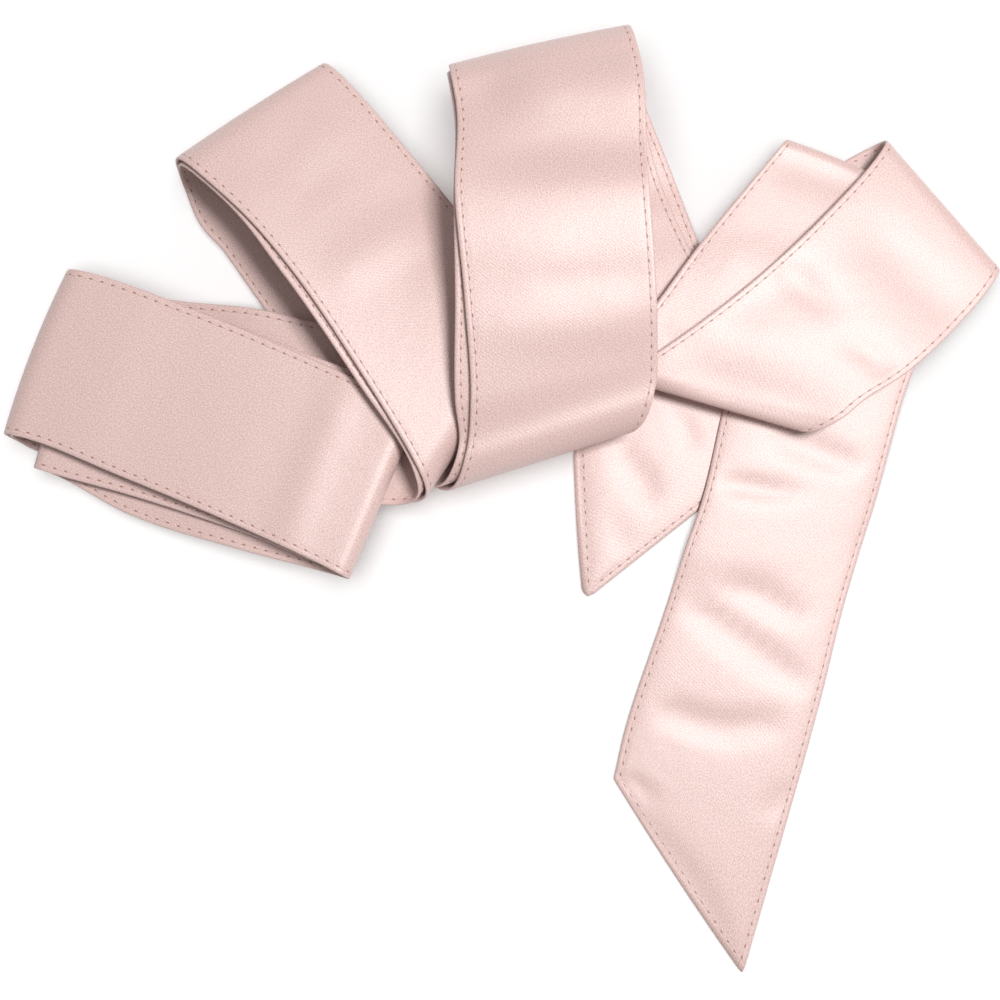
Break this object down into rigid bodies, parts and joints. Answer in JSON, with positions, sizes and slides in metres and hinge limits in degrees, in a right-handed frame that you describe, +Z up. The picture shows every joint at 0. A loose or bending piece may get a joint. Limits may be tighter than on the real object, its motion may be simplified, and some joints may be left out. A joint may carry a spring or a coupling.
{
  "type": "satin sash",
  "caption": "Double-ply satin sash folded double, wound into three flat loops and a bow loop, with a long and a short slanted tail, lying on a surface",
  "frame": {"origin": "middle of the heap's outline on the surface it lies on", "axes": "+Z up from the surface, +X to the right and +Y away along the surface as the picture shows it"},
  "size_m": [0.286, 0.269, 0.0356],
  "materials": {
    "satin": "soft satin sheen, dusty pink, topstitched edges"
  },
  "bodies": {
    "root": {"tail_long": "satin", "bow_inner": "satin", "bow_root_inner": "satin", "loop3_top_inner": "satin", "loop3_under_inner": "satin", "loop2_top_inner": "satin", "loop2_under_inner": "satin", "loop1_top_inner": "satin", "loop1_under_inner": "satin", "loop1_under_outer": "satin", "loop1_top_outer": "satin", "loop2_under_outer": "satin", "loop2_top_outer": "satin", "loop3_under_outer": "satin", "loop3_top_outer": "satin", "bow_root_outer": "satin", "bow_outer": "satin", "tail_short": "satin"}
  },
  "joints": []
}
